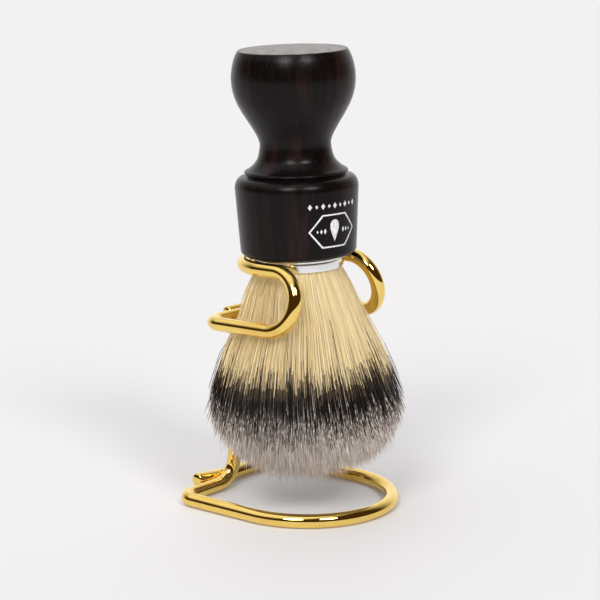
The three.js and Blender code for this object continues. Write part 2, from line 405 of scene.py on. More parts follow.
def polished_metal(matrix):
    """Polished light metal with fine marks round it, as a spun ring has."""
    nodes, shader = new_material("polished metal")
    around, place = own_coordinates(nodes, matrix, (0.04, 0.04, 1.0))
    marks = nodes.noise(around, 7000.0, 3.0)
    smudge = nodes.noise(place, 260.0, 3.0)
    tint = nodes.mix(smudge, (0.83, 0.84, 0.86), (0.93, 0.93, 0.94))
    nodes.bump(shader, marks, 0.2, 0.03 * MM)
    roughness = 0.12 + marks * 0.08 + smudge * 0.08
    finish(nodes, shader, {"Base Color": tint, "Roughness": roughness}, metallic=1.0)


def cast_resin():
    """Amber resin, clouded where it soaked into the fibre roots."""
    nodes, shader = new_material("cast resin")
    cloud = nodes.noise(nodes.own_place(), 420.0, 4.0)
    tint = nodes.mix(cloud, (0.32, 0.19, 0.07), (0.55, 0.4, 0.2))
    finish(nodes, shader, {"Base Color": tint, "Roughness": 0.25 + cloud * 0.2})


def print_ink():
    """Matt white print, a little thin in places."""
    nodes, shader = new_material("print ink")
    thin = nodes.noise(nodes.own_place(), 1500.0, 3.0).smooth(0.35, 0.7)
    ink = linear(settings().mark.print_colour)
    tint = nodes.mix(thin, ink, shaded(ink, 0.72, 0.72, 0.74))
    finish(nodes, shader, {"Base Color": tint}, roughness=0.5)


def packed_hair(matrix):
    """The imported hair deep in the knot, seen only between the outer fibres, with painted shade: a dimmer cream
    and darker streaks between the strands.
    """
    nodes, shader = new_material("packed hair")
    along, place = own_coordinates(nodes, matrix, (1.0, 1.0, 0.05))
    strands = nodes.noise(along, 1800.0, 4.0)
    ragged = nodes.noise(along, 700.0, 3.0)
    knot = settings().knot
    depth = -nodes.height_of(place) + (ragged - 0.5) * 12 * MM
    # The cream stop is dimmer than the outer fibres' cream: painted shade deep in the knot.
    stops = [
        (0.0, (0.5, 0.38, 0.2)),
        (0.46, (0.42, 0.31, 0.16)),
        (0.52, (0.02, 0.016, 0.015)),
        (0.7, (0.02, 0.016, 0.015)),
        (0.78, (0.3, 0.28, 0.27)),
    ]
    share = depth / (knot.side_depth + knot.dome_depth)
    dye = nodes.add("ShaderNodeValToRGB", {"stops": stops}, {"Fac": share})
    # Darker streaks multiplied in along the strands: painted shade between the strands.
    shade = nodes.mix(strands.smooth(0.4, 0.65) * 0.6, dye.outputs[0], (0.3, 0.27, 0.25), "MULTIPLY")
    nodes.bump(shader, strands, 0.8, 0.4 * MM)
    finish(nodes, shader, {"Base Color": shade}, roughness=0.7)


# Shades of a fibre from its root to its tip, in the order in which the hair's tree numbers them.
FIBRE_SHADES = [
    ("root_pale", (0.945, 0.88, 0.725)),
    ("root_cream", (0.925, 0.85, 0.67)),
    ("root_straw", (0.895, 0.80, 0.58)),
    ("band_upper_edge", (0.40, 0.33, 0.25)),
    ("band_black", (0.055, 0.04, 0.034)),
    ("band_brown", (0.115, 0.088, 0.075)),
    ("band_lower_edge", (0.40, 0.365, 0.34)),
    ("tip_grey", (0.64, 0.59, 0.55)),
    ("tip_silver", (0.80, 0.75, 0.71)),
    ("tip_white", (0.93, 0.89, 0.86)),
]


def fibre_material(name, shade):
    """One shade of synthetic fibre with a soft gloss."""
    nodes, shader = new_material(name)
    finish(nodes, shader, {"Base Color": (*linear(shade), 1.0)}, roughness=0.42, ior=1.45)
    finish(nodes, shader, {}, sheen_weight=0.05, sheen_roughness=0.4)


def floor_finish():
    """A plain matt pale surface."""
    nodes, shader = new_material("pale floor")
    pale = linear(settings().stage.floor_colour)
    mottle = nodes.noise(nodes.own_place(), 3.0, 2.0)
    tint = nodes.mix(mottle, pale, shaded(pale, 0.985, 0.985, 0.985))
    finish(nodes, shader, {"Base Color": tint}, roughness=0.65)


# ---- Making pieces ----


def add_object(name, data):
    made = bpy.data.objects.new(name, data)
    bpy.context.scene.collection.objects.link(made)
    return made


def mesh_piece(name, vertices, faces, material, sharp_degrees=180):
    """A mesh object from corner points in metres and faces, smooth shaded up to this angle."""
    mesh = bpy.data.meshes.new(name)
    mesh.from_pydata([tuple(v) for v in vertices], [], faces)
    if mesh.validate():
        raise RuntimeError(f"{name} has faces that Blender had to mend")
    mesh.materials.append(bpy.data.materials[material])
    mesh.polygons.foreach_set("use_smooth", [True] * len(mesh.polygons))
    mesh.set_sharp_from_angle(angle=math.radians(sharp_degrees))
    mesh.update()
    return add_object(name, mesh)


def baked(made, name, body):
    """The object's evaluated geometry as a plain mesh piece that rides on a body."""
    graph = bpy.context.evaluated_depsgraph_get()
    mesh = bpy.data.meshes.new_from_object(made.evaluated_get(graph), depsgraph=graph)
    if not mesh.polygons:
        raise RuntimeError(f"the tree of {name} gave no faces")
    mesh.name = name
    bpy.data.objects.remove(made)
    piece = add_object(name, mesh)
    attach(piece, body)
    return piece


def input_key(name):
    """An input's name as Python spells it."""
    return name.lower().replace(" ", "_")


def run_tree(made, tree, **inputs):
    """Adds a geometry tree to an object with these inputs, named as in the tree."""
    modifier = made.modifiers.new(tree.name, "NODES")
    modifier.node_group = tree
    for item in tree.interface.items_tree:
        if item.in_out == "INPUT" and input_key(item.name) in inputs:
            modifier[item.identifier] = inputs[input_key(item.name)]


def tree_with_inputs(name, floats=(), integers=(), vectors=(), geometry=False):
    """A new geometry tree, and its inputs as values by name."""
    tree = bpy.data.node_groups.new(name, "GeometryNodeTree")

    def add_socket(title, way, kind):
        tree.interface.new_socket(name=title, in_out=way, socket_type="NodeSocket" + kind)

    if geometry:
        add_socket("Geometry", "INPUT", "Geometry")
    add_socket("Geometry", "OUTPUT", "Geometry")
    for titles, kind in ((floats, "Float"), (integers, "Int"), (vectors, "Vector")):
        for title in titles:
            add_socket(title, "INPUT", kind)
    nodes = Nodes(tree)
    entry = nodes.add("NodeGroupInput")
    return nodes, {input_key(o.name): Value(nodes, o) for o in entry.outputs if o.name}


# ---- Wire ----


def wire_stations(corners, step):
    """Points along a wire, straight between corners and bent round each. A corner is (point, radius)."""
    points = []
    for index, (corner, radius) in enumerate(corners):
        if index in (0, len(corners) - 1):
            points.append(corner.copy())
            continue
        enter = (corner - corners[index - 1][0]).normalized()
        leave = (corners[index + 1][0] - corner).normalized()
        turn = enter.angle(leave)
        start = corner - enter * radius * math.tan(turn / 2)
        inward = (leave - enter * leave.dot(enter)).normalized()
        steps = max(3, math.ceil(turn / step))
        for k in range(steps + 1):
            bent = turn * k / steps
            point = start + enter * radius * math.sin(bent) + inward * radius * (1 - math.cos(bent))
            along = enter * math.cos(bent) + inward * math.sin(bent)
            if (point - points[-1]).dot(along) > 0.05 * MM:
                points.append(point)
    return points


def arm_corners(wire, side):
    """One arm's upper front, lower front and lower rear corner in the fork's frame. The left side is -1."""
    forward = Vector((-side * math.sin(wire.toe_in), -math.cos(wire.toe_in), 0.0))
    outward = Vector((side * math.cos(wire.toe_in), -math.sin(wire.toe_in), 0.0))
    down = outward * math.sin(wire.splay) + Vector((0, 0, -math.cos(wire.splay)))
    upper = Vector((side * wire.fork_radius, 0, 0)) + forward * (wire.arm_straight + wire.loop_radius)
    lower = upper + down * 2 * wire.loop_radius
    return upper, lower, lower - forward * (wire.lower_arm + wire.loop_radius)


def stand_route():
    """The bent wire's corners, and the middles of its two welds."""
    wire = settings().wire
    handle = settings().handle
    place = brush_matrix(handle.top)
    low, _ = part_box("stand_wire")
    edge = wire.base_radius + CAD_WIRE_APOTHEM
    centre = Vector((low.x + edge, low.y + edge, 0.0))
    level = wire.diameter / 2
    apart = wire.diameter + wire.weld_gap
    r, rear = wire.base_radius, wire.base_rear

    def base(x, y, rise=0.0):
        return centre + Vector((x, y, level + rise))

    arms = {side: [place @ p for p in arm_corners(wire, side)] for side in (-1, 1)}
    left_rear, right_rear = arms[-1][2], arms[1][2]
    foot = base(-2.5 * MM, rear)
    top = left_rear.lerp(right_rear, 0.44)
    back = Vector((0, apart, 0))
    ring = [place @ (Vector((x, y, 0)) * wire.fork_radius) for x, y in ((-1, 0), (-1, 1), (1, 1), (1, 0))]
    corners = [
        (base(-13 * MM, rear + apart, 1.6 * MM), 0.0),
        (base(2.5 * MM, rear + apart), 4 * MM),
        (base(r, rear + apart), wire.corner_radius + apart),
        (base(r, -r), r),
        (base(-r, -r), r),
        (base(-r, rear), wire.corner_radius),
        (foot, 6 * MM),
        (top, 5 * MM),
        (left_rear, wire.corner_radius),
        (arms[-1][1], wire.loop_radius),
        (arms[-1][0], wire.loop_radius),
        *zip(ring, (0.0, wire.fork_radius, wire.fork_radius, 0.0)),
        (arms[1][0], wire.loop_radius),
        (arms[1][1], wire.loop_radius),
        (right_rear + back, wire.corner_radius),
        (top + back - Vector((6 * MM, 0, 0)), 0.0),
    ]
    welds = [foot + back / 2 + Vector((0, 0, 2.4 * MM)), top + back / 2 + Vector((0.6 * MM, 0, 0))]
    return corners, welds, foot, top


def tube_along(nodes, curve, sides, radius, scale):
    """A closed tube round every curve, as real geometry."""
    outline = nodes.add("GeometryNodeCurvePrimitiveCircle", None, {"Resolution": sides, "Radius": radius})
    sockets = {"Curve": curve, "Profile Curve": outline.outputs[0], "Scale": scale, "Fill Caps": True}
    tube = nodes.add("GeometryNodeCurveToMesh", None, sockets)
    return nodes.add("GeometryNodeRealizeInstances", None, {0: tube.outputs[0]}).outputs[0]


def painted(nodes, geometry, material, chosen=True):
    """The geometry with this material on its chosen faces."""
    sockets = {"Geometry": geometry, "Selection": chosen, "Material": bpy.data.materials[material]}
    return nodes.add("GeometryNodeSetMaterial", None, sockets).outputs[0]


def wire_tree():
    """A tube round a curve, its thickness scaled by the curve's radius, with closed ends."""
    nodes, given = tree_with_inputs("bent wire", ["Wire Diameter"], ["Sides"], geometry=True)
    thickness = nodes.value("GeometryNodeInputRadius")
    tube = tube_along(nodes, given["geometry"], given["sides"], given["wire_diameter"] / 2, thickness)
    nodes.add("NodeGroupOutput", None, {0: painted(nodes, tube, "gold plate")})
    return nodes.tree


def rounded_ends(points, reach):
    """(point, thickness) along the wire, the rim of each cut end worn round over this reach."""
    rim = [(0.0, 0.66), (0.1, 0.78), (0.28, 0.89), (0.6, 0.97), (1.0, 1.0)]
    out = [(p, 1.0) for p in points[1:-1]]
    for end, inner in ((points[0], points[1]), (points[-1], points[-2])):
        inward = (inner - end).normalized() * reach
        worn = [(end + inward * step, thick) for step, thick in rim]
        out = [*worn, *out] if end is points[0] else [*out, *reversed(worn)]
    return out


def weld_bead(centre):
    """Corner points and faces of a rounded bead."""
    rings, sides = 12, 20
    outline = [(math.sin(math.pi * i / rings), math.cos(math.pi * i / rings)) for i in range(rings + 1)]
    half = Matrix.Diagonal((1.7 * MM, 1.25 * MM, 1.2 * MM, 1.0))
    return turned(outline, sides, Matrix.Translation(centre) @ half)


# ---- Turned pieces ----


def arc(radius, height, size_r, size_z, start, end, steps):
    """Points (radius, height) round part of an ellipse, angles in degrees."""
    angles = [math.radians(start + (end - start) * k / steps) for k in range(steps + 1)]
    return [(radius + size_r * math.cos(a), height + size_z * math.sin(a)) for a in angles]


def faired(points, per_span):
    """A smooth curve through the points, which it meets in order."""
    out = []
    padded = [points[0], *points, points[-1]]
    for i in range(1, len(padded) - 2):
        p0, p1, p2, p3 = (Vector(p) for p in padded[i - 1 : i + 3])
        for k in range(per_span):
            t = k / per_span
            a = (p2 - p0) * 0.5
            b = (p3 - p1) * 0.5
            h = 2 * t**3 - 3 * t**2 + 1, t**3 - 2 * t**2 + t, -2 * t**3 + 3 * t**2, t**3 - t**2
            out.append(tuple(p1 * h[0] + a * h[1] + p2 * h[2] + b * h[3]))
    out.append(points[-1])
    return out


def turned(profile, segments, matrix):
    """Corner points and faces of a solid of revolution. The profile runs from the top down the outside."""
    turns = [2 * math.pi * k / segments for k in range(segments)]
    circle = [(math.cos(turn), math.sin(turn)) for turn in turns]
    points, rings = [], []
    for radius, height in profile:
        spots = circle if radius > 1e-7 else [(0.0, 0.0)]
        rings.append([len(points) + k for k in range(len(spots))])
        points += [matrix @ Vector((radius * x, radius * y, height)) for x, y in spots]
    pairs = list(zip(rings, rings[1:]))
    if len(rings[0]) > 1:
        pairs.append((rings[-1], rings[0]))
    faces = []
    for above, below in pairs:
        for k in range(segments):
            ends = [(ring[k % len(ring)], ring[(k + 1) % segments % len(ring)]) for ring in (above, below)]
            (a, b), (c, d) = ends
            faces.append(tuple(dict.fromkeys((a, c, d, b))))
    return points, faces


def collar_radius_at(height):
    """Outer radius of the collar's tapered side at a height above the fork."""
    handle = settings().handle
    share = (height - COLLAR_FOOT) / (COLLAR_SHOULDER - COLLAR_FOOT)
    return handle.collar_foot_radius + (handle.collar_radius - handle.collar_foot_radius) * share


def handle_profile():
    """The handle's outline from the flat end down to the collar, and its socket."""
    h = settings().handle
    bulb = ((1.0, 2.2), (0.3, 4.9), (0.0, 8.1), (0.37, 11.4), (1.46, 14.75), (3.27, 18.1))
    neck = ((2.05, 21.4), (0.45, 24.4), (0.0, 26.6), (0.6, 29.75), (1.55, 31.4), (3.0, 32.8), (4.2, 33.5))
    grip = [(h.end_radius + 0.1 * MM, h.top - 0.5 * MM)]
    grip += [(h.bulb_radius - inset * MM, h.top - down * MM) for inset, down in bulb]
    grip += [(h.waist_radius + out * MM, h.top - down * MM) for out, down in neck]
    step = h.waist_radius + 4.55 * MM
    shoulder = h.collar_radius - 2.3 * MM
    foot = h.collar_foot_radius - 1.6 * MM
    bore = h.ferrule_radius + 0.2 * MM
    return [
        (0.0, h.top),
        (h.end_radius * 0.5, h.top),
        (h.end_radius - 0.6 * MM, h.top),
        *arc(h.end_radius - 0.5 * MM, h.top - 0.5 * MM, 0.5 * MM, 0.5 * MM, 90, 20, 5),
        *faired(grip, 6),
        *arc(step - 0.45 * MM, h.top - 34.0 * MM, 0.45 * MM, 0.45 * MM, 60, -70, 6),
        (step - 0.5 * MM, h.top - 34.65 * MM),
        (step - 0.35 * MM, h.top - 34.85 * MM),
        *arc(shoulder, 21.3 * MM, 2.3 * MM, 3.2 * MM, 84, 0, 12),
        (collar_radius_at(16 * MM), 16 * MM),
        (collar_radius_at(10 * MM), 10 * MM),
        *arc(foot - 0.05 * MM, COLLAR_SEAT + 1.6 * MM, 1.6 * MM, 1.6 * MM, 0, -90, 10),
        (bore + 1.0 * MM, COLLAR_SEAT),
        *arc(bore + 0.25 * MM, COLLAR_SEAT + 0.25 * MM, 0.25 * MM, 0.25 * MM, -90, -180, 4),
        (bore, COUNTERBORE_TOP),
        (SOCKET_RADIUS, COUNTERBORE_TOP),
        (SOCKET_RADIUS, SOCKET_TOP),
        (0.0, SOCKET_TOP),
    ]


def ferrule_profile():
    """The ring's outline: a rolled lip, a fine groove and a plain band below it."""
    h = settings().handle
    r, foot = h.ferrule_radius, -h.ferrule_foot
    inner = r - 0.7 * MM
    return [
        (inner, RING_TOP),
        (r, RING_TOP),
        (r, 2.1 * MM),
        *arc(r, 1.75 * MM, 0.22 * MM, 0.35 * MM, 90, -90, 8),
        (r - 0.06 * MM, 1.3 * MM),
        (r - 0.02 * MM, 1.15 * MM),
        (r, 0.6 * MM),
        (r, foot + 0.9 * MM),
        *arc(r - 0.3 * MM, foot + 0.3 * MM, 0.3 * MM, 0.3 * MM, 0, -90, 6),
        *arc(inner + 0.2 * MM, foot + 0.2 * MM, 0.2 * MM, 0.2 * MM, -90, -180, 4),
    ]


def core_profile():
    """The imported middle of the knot, inside the fibres that show."""
    k, h = settings().knot, settings().handle
    foot = -h.ferrule_foot
    side = foot - k.side_depth
    return [
        (0.0, 4.0 * MM),
        (k.neck_radius * 0.97, 4.0 * MM),
        (k.neck_radius * 0.97, foot),
        (k.neck_radius * 0.9, foot - 7 * MM),
        (k.neck_radius * 0.93, foot - 17 * MM),
        (k.bloom_radius * CORE_SHARE * 0.85, foot - 30 * MM),
        *arc(0.0, side, k.bloom_radius * CORE_SHARE, k.dome_depth * CORE_DOME_SHARE, 10, -84, 16),
        (0.0, side - k.dome_depth * CORE_DOME_SHARE),
    ]


# ---- Hair ----


def random_number(nodes, item, seed, low, high):
    sockets = {"Min_001": low, "Max_001": high, "ID": item, "Seed": seed}
    return nodes.value("FunctionNodeRandomValue", None, sockets)


def hair_tree():
    """Straight fibres that fan out of the ring, dyed along their length, parted round the upright
    and squeezed between the arms of the fork."""
    sizes = (
        "Inner Share, Outer Share, Start, Neck Radius, Bloom Radius, Side Depth, Dome Depth, Fibre Radius, "
        "Band Top, Band Foot, Pinch, Arm Depth, Rear Limit, Root Height, Lean Right, Lean Forward"
    )
    places = ["Upright Foot", "Upright Top"]
    nodes, given = tree_with_inputs("knot hair", sizes.split(", "), ["Fibres", "Seed"], places)
    line = nodes.add("GeometryNodeCurvePrimitiveLine").outputs[0]
    strand = nodes.add("GeometryNodeResampleCurve", {"mode": "COUNT"}, {"Curve": line, "Count": RINGS})
    copies = {"Geometry": strand.outputs[0], "Amount": given["fibres"]}
    strands = nodes.add("GeometryNodeDuplicateElements", {"domain": "SPLINE"}, copies).outputs[0]
    fibre = nodes.value("GeometryNodeCurveOfPoint", output="Curve Index")
    ring = nodes.value("GeometryNodeCurveOfPoint", output="Index in Curve")

    def draw(offset, low=0.0, high=1.0):
        """A random number for each fibre."""
        return random_number(nodes, fibre, given["seed"] + offset, low, high)

    # Where in the bundle the fibre is: its share of the radius, and its direction round the axis.
    inner, outer = given["inner_share"], given["outer_share"]
    share = (inner * inner + (outer * outer - inner * inner) * draw(1)).math("SQRT")
    around = draw(2, 0.0, 2 * math.pi)
    tuft = (around * TUFTS + share * 3.0).math("FLOOR")
    tuft_middle = (tuft + 0.5 - share * 3.0) / TUFTS
    tuft_draw = random_number(nodes, tuft, 3, -1.0, 1.0)
    gather = draw(3, 0.1, 0.55)

    # How deep it reaches, and where along it the dye begins and ends.
    hollow = (1.0 - share * share).limit(0.0, 1.0).math("SQRT")
    stray = draw(4) ** 6.0
    end = given["side_depth"] + given["dome_depth"] * hollow
    end = end - (draw(5) ** 1.6) * 5.5 * MM + tuft_draw * 0.7 * MM + stray * 2.2 * MM + 0.9 * MM
    start = end * given["start"]
    early = (draw(6) ** 18.0) * 17 * MM
    dye_top = given["band_top"] + draw(8, -3.2 * MM, 3.6 * MM) + tuft_draw * 1.2 * MM - early
    dye_foot = given["band_foot"] + draw(9, -4.6 * MM, 4.0 * MM) - tuft_draw * 1.4 * MM
    first = (dye_top - 1.5 * MM).math("MAXIMUM", start + 0.6 * MM)
    second = (dye_top + 1.5 * MM).math("MAXIMUM", first + 0.3 * MM)
    third = (dye_foot - 1.4 * MM).limit(second + 0.3 * MM, end - 2.6 * MM)
    third = third.math("MAXIMUM", second + 0.2 * MM)
    fourth = third + 1.6 * MM

    def part(low, high):
        """How much of the way from one section to another is done, from 0 to 1."""
        return ((ring - float(low)) / float(high - low)).limit(0.0, 1.0)

    depth = start + (first - start) * part(0, BAND_RING)
    depth = depth + (second - first) * part(BAND_RING, BAND_RING + 1)
    depth = depth + (third - second) * part(BAND_RING + 1, TIP_RING - 1)
    depth = depth + (fourth - third) * part(TIP_RING - 1, TIP_RING)
    depth = depth + (end - fourth) * part(TIP_RING, RINGS - 1)

    # The fibre's path: straight from the ring to its end, with a slight bow and a little disorder.
    along = depth / end
    bow = (along * math.pi).math("SINE") * draw(10, 0.4 * MM, 1.5 * MM) * share
    reach = given["bloom_radius"] * share
    radius = given["neck_radius"] * share * (1.0 - along) + reach * along + bow
    radius = radius + along**3.0 * (draw(11, -0.7 * MM, 0.7 * MM) + stray * 1.3 * MM)
    sway = (draw(12, -0.032, 0.032)) * along**1.5
    direction = around + (tuft_middle - around) * gather * along**3.0 + sway
    x = radius * direction.math("COSINE")
    y = radius * direction.math("SINE")

    # The lower arms squeeze it from both sides, and the wire behind it from the rear.
    from_arms = depth - given["arm_depth"]
    spread = from_arms / (6 * MM)
    squeeze = (-(spread * spread)).math("EXPONENT")
    x = x * (1.0 - given["pinch"] * squeeze)
    clear = given["rear_limit"] + 0.95 * (from_arms.math("ABSOLUTE") - 2.4 * MM).math("MAXIMUM", 0.0)
    rear = y / clear
    beyond = (rear - 0.8).math("MAXIMUM", 0.0)
    y = clear * (rear.math("MINIMUM", 0.8) + 0.2 * (1.0 - (beyond * -5.0).math("EXPONENT")))
    x = x + given["lean_right"] * along**2.0
    y = y - given["lean_forward"] * along**2.0
    z = given["root_height"] - depth

    # It parts round the upright.
    def parts_of(place):
        split = nodes.add("ShaderNodeSeparateXYZ", None, {"Vector": place})
        return (Value(nodes, o) for o in split.outputs)

    foot_x, foot_y, foot_z = parts_of(given["upright_foot"])
    top_x, top_y, top_z = parts_of(given["upright_top"])
    climb = (z - foot_z) / (top_z - foot_z)
    wire_x = foot_x + (top_x - foot_x) * climb
    wire_y = foot_y + (top_y - foot_y) * climb
    side = (reach * around.math("COSINE") - foot_x > 0.0) * 2.0 - 1.0
    beside = (x - wire_x) * side
    near = (y - wire_y).smooth(-6.5 * MM, -2.6 * MM)
    beside = beside + near * (2.7 * MM - beside * 0.65).math("MAXIMUM", 0.0)
    x = wire_x + beside * side

    place = nodes.add("ShaderNodeCombineXYZ", None, {0: x, 1: y, 2: z}).outputs[0]
    laid = nodes.add("GeometryNodeSetPosition", None, {"Geometry": strands, "Position": place}).outputs[0]
    for name, number in (("section", ring), ("shade", draw(13))):
        kept = {"Geometry": laid, "Name": name, "Value": number}
        store = {"data_type": "FLOAT", "domain": "POINT"}
        laid = nodes.add("GeometryNodeStoreNamedAttribute", store, kept).outputs[0]
    taper = (1.0 - 0.8 * part(TIP_RING - 1, RINGS - 1) ** 2.0) * draw(14, 0.75, 1.25)
    fibres = tube_along(nodes, laid, 3, given["fibre_radius"], taper)
    nodes.add("NodeGroupOutput", None, {0: dyed(nodes, fibres)})
    return nodes.tree


def dyed(nodes, geometry):
    """The fibres with a shade on every stretch of each."""

    def stored(name):
        return nodes.value("GeometryNodeInputNamedAttribute", {"data_type": "FLOAT"}, {"Name": name})

    section, shade = stored("section"), stored("shade")
    root = (shade * 3.0).math("FLOOR")
    undyed = shade.math("PINGPONG", 0.05) > 0.048
    band = 4.0 + (shade * 1.7).math("FLOOR") + 3.0 * undyed
    tip = 7.0 + (shade * 3.0).math("FLOOR")
    number = root
    steps = (
        (BAND_RING, 3.0 - root),
        (BAND_RING + 1, band - 3.0),
        (TIP_RING - 1, 6.0 - band),
        (TIP_RING, tip - 6.0),
    )
    for last, change in steps:
        number = number + change * (section > float(last))
    for index, (name, _) in enumerate(FIBRE_SHADES):
        geometry = painted(nodes, geometry, name, number.math("COMPARE", float(index), 0.25))
    return geometry


def hair_piece(name, inner, outer, start, seed):
    """One plain mesh of fibres between two shares of the bundle's radius."""
    knot, handle, wire = settings().knot, settings().handle, settings().wire
    matrix = brush_matrix(handle.top)
    _, _, foot, top = stand_route()
    inverse = matrix.inverted()
    arm_level = 2 * wire.loop_radius * math.cos(wire.splay)
    tree = bpy.data.node_groups.get("knot hair") or hair_tree()
    made = add_object(name + "_source", bpy.data.meshes.new(name))
    run_tree(
        made,
        tree,
        **{key: getattr(knot, key) for key in knot.__annotations__ if key != "seed"},
        seed=knot.seed + seed,
        inner_share=inner,
        outer_share=outer,
        start=start,
        arm_depth=arm_level - handle.ferrule_foot,
        root_height=-handle.ferrule_foot + 0.6 * MM,
        upright_foot=inverse @ foot,
        upright_top=inverse @ top,
    )
    piece = baked(made, name, "brush")
    piece.data.transform(matrix)
    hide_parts("knot")


# ---- Operators ----


class BRUSHSTAND_OT_finishes(bpy.types.Operator):
    """Makes every finish"""

    bl_idname = "brush_stand.finishes"
    bl_label = "Finishes"

    def execute(self, context):
        matrix = brush_matrix(settings().handle.top)
        gold_plate()
        lacquered_wood(matrix)
        polished_metal(matrix)
        cast_resin()
        print_ink()
        packed_hair(matrix)
        floor_finish()
        for name, shade in FIBRE_SHADES:
            fibre_material(name, shade)
        return {"FINISHED"}


class BRUSHSTAND_OT_wire(bpy.types.Operator):
    """Bends the stand's wire"""

    bl_idname = "brush_stand.wire"
    bl_label = "Stand Wire"

    def execute(self, context):
        wire = settings().wire
        corners, _, _, _ = stand_route()
        route = rounded_ends(wire_stations(corners, math.radians(5)), 0.9 * MM)
        curve = bpy.data.curves.new("stand route", "CURVE")
        curve.dimensions = "3D"
        spline = curve.splines.new("POLY")
        spline.points.add(len(route) - 1)
        for point, (place, thickness) in zip(spline.points, route):
            point.co = (*place, 1.0)
            point.radius = thickness
        made = add_object("stand_route", curve)
        run_tree(made, wire_tree(), wire_diameter=wire.diameter, sides=wire.sides)
        piece = baked(made, "gold_wire", "stand")
        for face in piece.data.polygons:
            face.use_smooth = len(face.vertices) == 4
        piece.data.set_sharp_from_angle(angle=math.radians(30))
        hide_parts("stand_wire")
        return {"FINISHED"}


class BRUSHSTAND_OT_welds(bpy.types.Operator):
    """Adds the plated weld beads where the wire's ends meet its upright"""

    bl_idname = "brush_stand.welds"
    bl_label = "Welds"

    def execute(self, context):
        _, welds, _, _ = stand_route()
        for name, centre in zip(("foot_weld_bead", "fork_weld_bead"), welds):
            points, faces = weld_bead(centre)
            piece = mesh_piece(name, points, faces, "gold plate")
            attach(piece, "stand")
        return {"FINISHED"}


class BRUSHSTAND_OT_handle(bpy.types.Operator):
    """Turns the wooden handle"""

    bl_idname = "brush_stand.handle"
    bl_label = "Handle"

    def execute(self, context):
        handle = settings().handle
        points, faces = turned(handle_profile(), handle.segments, brush_matrix(handle.top))
        piece = mesh_piece("turned_handle", points, faces, "lacquered wood", 40)
        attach(piece, "brush")
        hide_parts("handle")
        return {"FINISHED"}


class BRUSHSTAND_OT_ferrule(bpy.types.Operator):
    """Spins the metal ring"""

    bl_idname = "brush_stand.ferrule"
    bl_label = "Ferrule"

    def execute(self, context):
        handle = settings().handle
        points, faces = turned(ferrule_profile(), handle.segments, brush_matrix(handle.top))
        piece = mesh_piece("spun_ferrule", points, faces, "polished metal", 40)
        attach(piece, "brush")
        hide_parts("ferrule")
        return {"FINISHED"}


class BRUSHSTAND_OT_plug(bpy.types.Operator):
    """Gives the resin plug inside the handle its finish"""

    bl_idname = "brush_stand.plug"
    bl_label = "Knot Plug"

    def execute(self, context):
        for each in frame["nodes"]["knot_plug"].material_slots:
            each.material = bpy.data.materials["cast resin"]
        return {"FINISHED"}


class BRUSHSTAND_OT_mark(bpy.types.Operator):
    """Prints a plain framed drop and a row of diamonds on the collar"""

    bl_idname = "brush_stand.mark"
    bl_label = "Collar Mark"

    def execute(self, context):
        mark = settings().mark
        matrix = brush_matrix(settings().handle.top)
        points, faces = [], []
        for outer, inner in mark_outlines():
            add_printed_band(points, faces, outer, inner, mark, matrix)
        piece = mesh_piece("collar_print", points, faces, "print ink", 40)
        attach(piece, "brush")
        return {"FINISHED"}


def mark_outlines():
    """Pairs of outer and inner outlines, flat: metres across the collar, and up towards the handle's end."""
    steps = 96

    def drop(size):
        out = []
        for k in range(steps):
            t = 2 * math.pi * k / steps
            lean = math.sin(t / 2) ** 1.6
            out.append((size * 0.68 * math.sin(t) * lean, -size * math.cos(t)))
        return out

    def polygon(corners, size_x, size_y, middle_x=0.0, middle_y=0.0):
        out = []
        for k in range(steps):
            t = k / steps * corners
            i, f = int(t), t - int(t)
            a, b = 2 * math.pi * i / corners, 2 * math.pi * (i + 1) / corners
            x = math.cos(a) * (1 - f) + math.cos(b) * f
            y = math.sin(a) * (1 - f) + math.sin(b) * f
            out.append((middle_x + size_x * x, middle_y + size_y * y))
        return out

    line = 0.42 * MM
    pairs = [(polygon(6, 8.0 * MM, 5.4 * MM), polygon(6, 8.0 * MM - 1.25 * line, 5.4 * MM - 1.15 * line))]
    scales = (1.0, 0.72, 0.45, 0.2, 0.01)
    for outer, inner in zip(scales, scales[1:]):
        pairs.append((drop(3.1 * MM * outer), drop(3.1 * MM * inner)))

    def diamond(size, slimness, x, y):
        return polygon(4, size, size * slimness, x, y), polygon(4, size * 0.02, size * 0.02, x, y)

    for side in (-1, 1):
        pairs += [diamond((0.42 - 0.08 * k) * MM, 1.9, side * (3.1 + 1.15 * k) * MM, 0.0) for k in range(3)]
    for k in range(9):
        size = (0.62 if k % 2 == 0 else 0.42) * MM
        pairs.append(diamond(size, 1.35, (k - 4) * 1.9 * MM, 7.0 * MM))
    return pairs


def add_printed_band(points, faces, outer, inner, mark, matrix):
    """Wraps the band between two outlines round the collar, as a very thin closed layer."""
    lift, thick = 0.02 * MM, 0.05 * MM
    n = len(outer)
    first = len(points)
    for outline in (outer, inner):
        for height_above in (lift, lift + thick):
            for across, up in outline:
                height = mark.height + up
                radius = collar_radius_at(height) + height_above
                turn = mark.around + across / radius
                points.append(matrix @ Vector((radius * math.cos(turn), radius * math.sin(turn), height)))
    loops = [first, first + n, first + 3 * n, first + 2 * n]
    for a, b in zip(loops, loops[1:] + loops[:1]):
        faces += [(a + k, a + (k + 1) % n, b + (k + 1) % n, b + k) for k in range(n)]


class BRUSHSTAND_OT_core(bpy.types.Operator):
    """Packs the middle of the knot"""

    bl_idname = "brush_stand.core"
    bl_label = "Knot Core"

    def execute(self, context):
        points, faces = turned(core_profile(), 96, brush_matrix(settings().handle.top))
        piece = mesh_piece("packed_core", points, faces, "packed hair", 60)
        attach(piece, "brush")
        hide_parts("knot")
        return {"FINISHED"}


